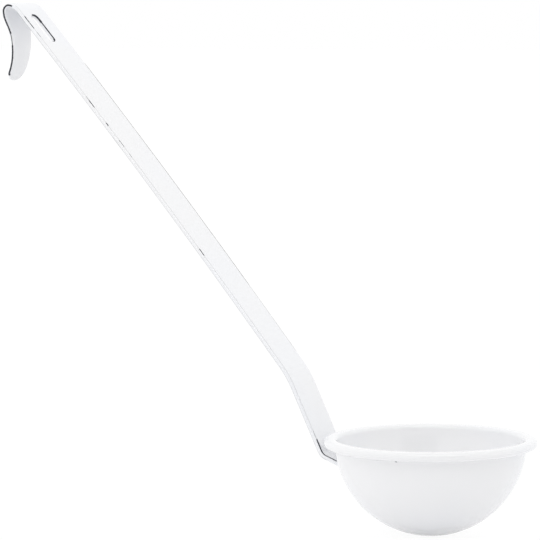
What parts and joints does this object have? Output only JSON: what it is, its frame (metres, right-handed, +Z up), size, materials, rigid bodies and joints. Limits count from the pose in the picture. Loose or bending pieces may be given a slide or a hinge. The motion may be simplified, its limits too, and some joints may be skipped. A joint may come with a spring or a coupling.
{
  "type": "soup ladle",
  "caption": "White enamelled steel soup ladle: round bowl with a rolled rim, and a bent strip handle with a hang slot and a hook.",
  "frame": {"origin": "middle of the flat under the bowl, on the bowl's axis", "axes": "+Z up along the bowl's axis, out of its mouth; the handle rises towards -X in the plane Y = 0; +Y is towards the strip's far edge"},
  "size_m": [0.2895, 0.1, 0.2492],
  "materials": {
    "white_enamel": "glossy white vitreous enamel, dark blue-black ground coat showing in thin lines on sharp edges",
    "bare_steel": "plain low-carbon steel sheet, hidden under the enamel",
    "weld_metal": "spot weld nugget, hidden between the sheets"
  },
  "bodies": {
    "root": {"bowl_enamel": "white_enamel", "handle_enamel": "white_enamel", "bowl_steel": "bare_steel", "handle_steel": "bare_steel", "weld_near": "weld_metal", "weld_far": "weld_metal"}
  },
  "joints": []
}
